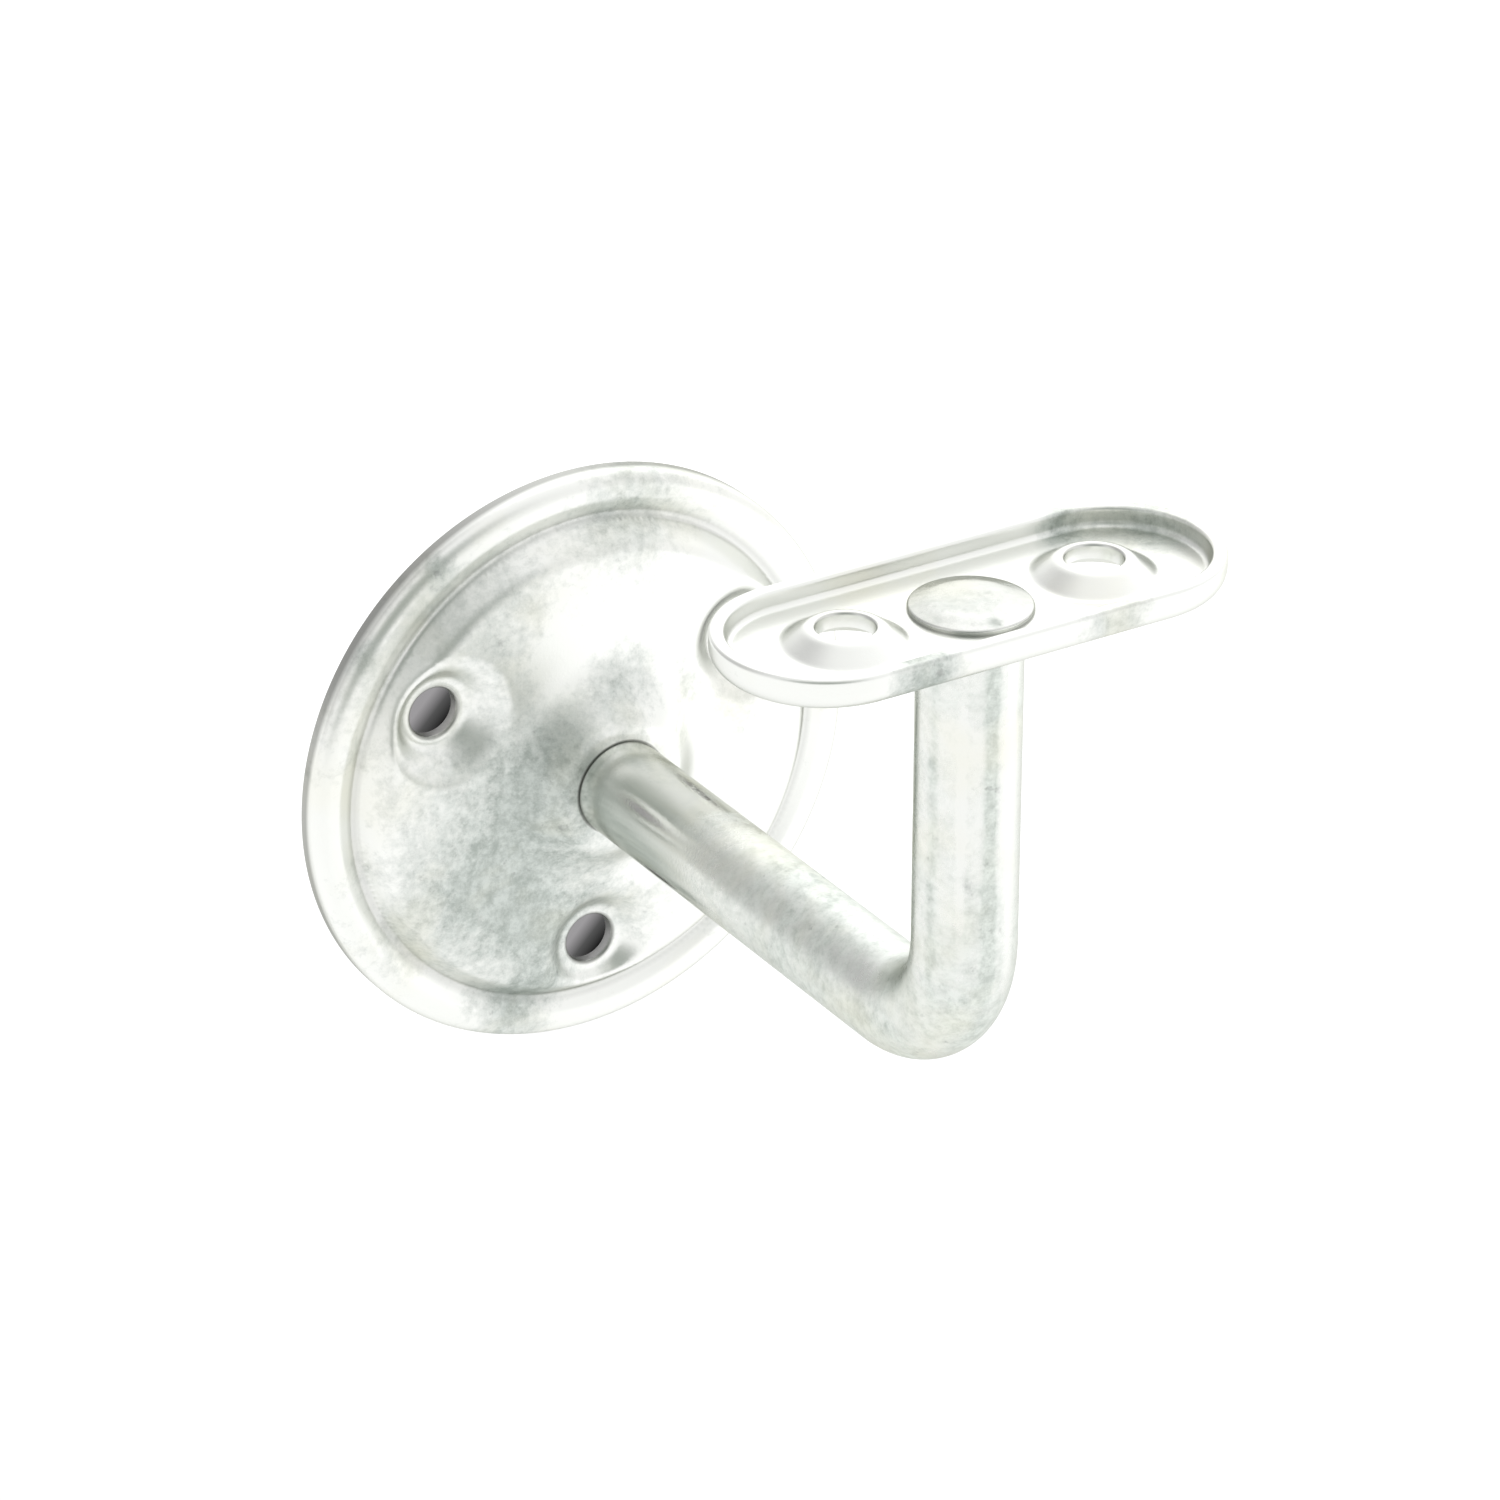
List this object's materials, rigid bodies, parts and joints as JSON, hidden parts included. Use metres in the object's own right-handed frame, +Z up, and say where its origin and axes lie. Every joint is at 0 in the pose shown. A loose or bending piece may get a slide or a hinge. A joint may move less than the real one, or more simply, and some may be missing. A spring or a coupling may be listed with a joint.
{
  "type": "handrail bracket",
  "caption": "Wall-mounted handrail bracket: domed screw-on rose, bent round-bar arm and a flat obround saddle for the rail.",
  "frame": {"origin": "centre of the rose on the wall plane", "axes": "+Y into the wall, so the arm stands out along -Y; +Z up, the way the rail seat faces; +X along the saddle and the rail"},
  "size_m": [0.075, 0.0985, 0.095],
  "materials": {
    "zinc_sheet": "bright zinc-plated pressed steel sheet, lightly mottled",
    "zinc_bar": "zinc-plated round bar, dull and mottled"
  },
  "bodies": {
    "root": {"wall_rose": "zinc_sheet", "arm": "zinc_bar", "saddle": "zinc_sheet"}
  },
  "joints": []
}
